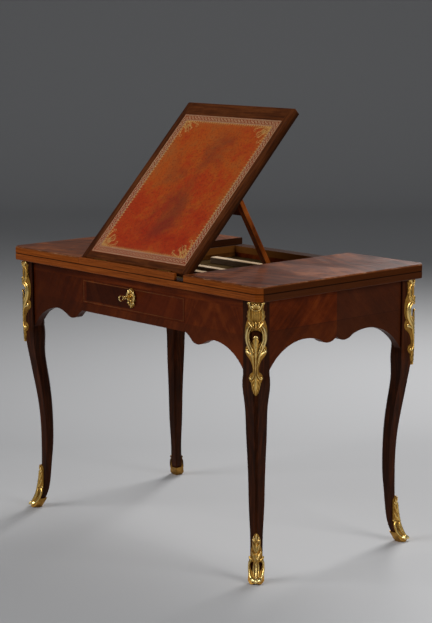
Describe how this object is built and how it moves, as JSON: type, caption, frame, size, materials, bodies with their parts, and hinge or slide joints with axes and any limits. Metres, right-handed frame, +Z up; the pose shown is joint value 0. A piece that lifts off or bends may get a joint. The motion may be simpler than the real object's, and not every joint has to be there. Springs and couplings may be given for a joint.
{
  "type": "reading table",
  "caption": "Reading table on cabriole legs, with a leather-faced slope that tilts on an easel over a well, a lockable frieze drawer and gilt mounts.",
  "frame": {"origin": "on the floor, under the middle of the bounding box at rest, key included", "axes": "+X to the right along the front, +Y to the back, +Z up"},
  "size_m": [0.974, 0.5914, 1.0997],
  "materials": {
    "veneer": "French-polished red-brown veneer",
    "figured_veneer": "French-polished figured veneer",
    "slope_wood": "polished solid wood",
    "oak": "plain planed oak",
    "leather": "polished leather with a gilt tooled border",
    "gilt_bronze": "gilt bronze, burnished and matt",
    "brass": "dull brass",
    "steel": "worn steel"
  },
  "bodies": {
    "carcase": {"leg_front_left": "veneer", "chute_front_left": "gilt_bronze", "sabot_front_left": "gilt_bronze", "leg_front_right": "veneer", "chute_front_right": "gilt_bronze", "sabot_front_right": "gilt_bronze", "leg_back_left": "veneer", "chute_back_left": "gilt_bronze", "sabot_back_left": "gilt_bronze", "leg_back_right": "veneer", "chute_back_right": "gilt_bronze", "sabot_back_right": "gilt_bronze", "front_top_rail": "veneer", "front_bottom_rail": "veneer", "front_left_frieze": "veneer", "front_right_frieze": "veneer", "left_end_apron": "veneer", "right_end_apron": "veneer", "back_apron": "veneer", "top_rim": "veneer", "hinge_strip": "veneer", "left_top_panel": "figured_veneer", "right_top_panel": "figured_veneer", "well_floor": "oak", "well_left_wall": "oak", "well_right_wall": "oak", "rack_front_bar": "oak", "rack_middle_bar": "oak", "rack_rear_bar": "oak", "left_foot_rest": "oak", "right_foot_rest": "oak", "left_drawer_runner": "oak", "right_drawer_runner": "oak", "left_hinge_fixed_leaf": "brass", "right_hinge_fixed_leaf": "brass", "hinge_pins": "brass"},
    "slope": {"slope_left_stile": "slope_wood", "slope_right_stile": "slope_wood", "slope_upper_rail": "slope_wood", "slope_lower_rail": "slope_wood", "slope_core": "oak", "slope_leather": "leather", "left_hinge_moving_leaf": "brass", "right_hinge_moving_leaf": "brass", "left_strut_bracket": "brass", "right_strut_bracket": "brass", "strut_pins": "brass"},
    "easel": {"left_strut": "slope_wood", "right_strut": "slope_wood", "strut_rail": "slope_wood"},
    "drawer": {"drawer_front": "veneer", "drawer_left_side": "oak", "drawer_right_side": "oak", "drawer_back": "oak", "drawer_bottom": "oak", "lock_case": "steel", "escutcheon": "gilt_bronze"},
    "bolt": {"lock_bolt": "steel"},
    "key": {"key": "brass"}
  },
  "joints": [
    {"name": "slope_tilt", "type": "hinge", "parent": "carcase", "child": "slope", "pos_m": [0, -0.26295, 0.72], "axis": [1, 0, 0], "range_deg": [-46.1, 12]},
    {"name": "strut_fold", "type": "hinge", "parent": "slope", "child": "easel", "pos_m": [0, -0.07158, 0.88418], "axis": [1, 0, 0], "range_deg": [-27.8, 106.5]},
    {"name": "drawer_slide", "type": "slide", "parent": "carcase", "child": "drawer", "axis": [0, -1, 0], "range_m": [0, 0.26]},
    {"name": "key_turn", "type": "hinge", "parent": "drawer", "child": "key", "pos_m": [0, -0.2525, 0.6384], "axis": [0, 1, 0], "range_deg": [-2, 182]},
    {"name": "bolt_throw", "type": "slide", "parent": "drawer", "child": "bolt", "axis": [0, 0, 1], "range_m": [0, 0.007]}
  ],
  "couplings": [
    {"joint": "strut_fold", "follows": "slope_tilt", "ratio": -2.3102},
    {"joint": "key_turn", "follows": "bolt_throw", "rad_per_m": 448.8}
  ]
}
